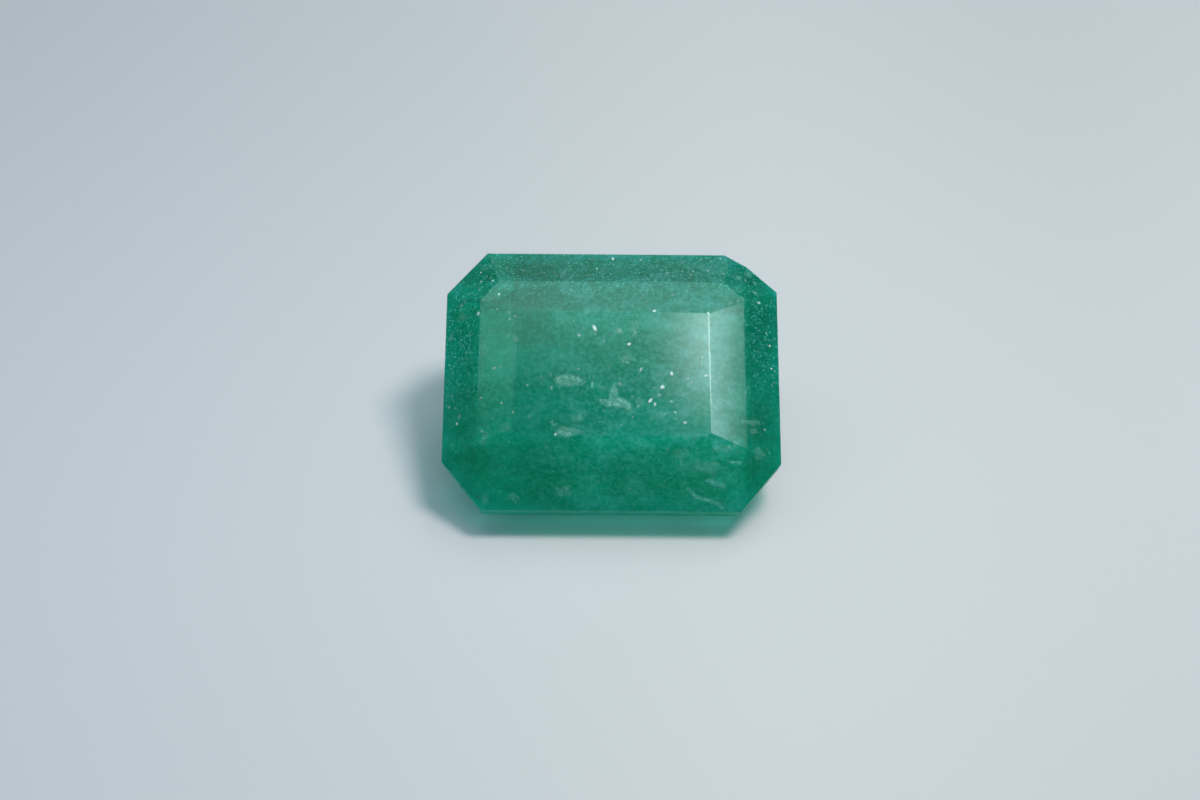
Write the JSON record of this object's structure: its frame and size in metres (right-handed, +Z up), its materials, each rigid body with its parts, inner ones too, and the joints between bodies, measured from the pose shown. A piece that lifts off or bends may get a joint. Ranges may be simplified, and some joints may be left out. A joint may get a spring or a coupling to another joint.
{
  "type": "step-cut emerald gemstone",
  "caption": "Cloudy green step-cut gemstone, an octagon with a rectangular table, lying tipped on a pavilion facet.",
  "frame": {"origin": "under the middle of the stone, on the surface that it lies on", "axes": "+X along the stone's length, +Z up, -Y toward the low front edge of the girdle; the table faces up and toward -Y, 30 degrees off level"},
  "size_m": [0.014, 0.01, 0.007],
  "materials": {
    "emerald": "polished facets over a cloudy green body, see-through at thin edges"
  },
  "bodies": {
    "root": {"emerald": "emerald"}
  },
  "joints": []
}
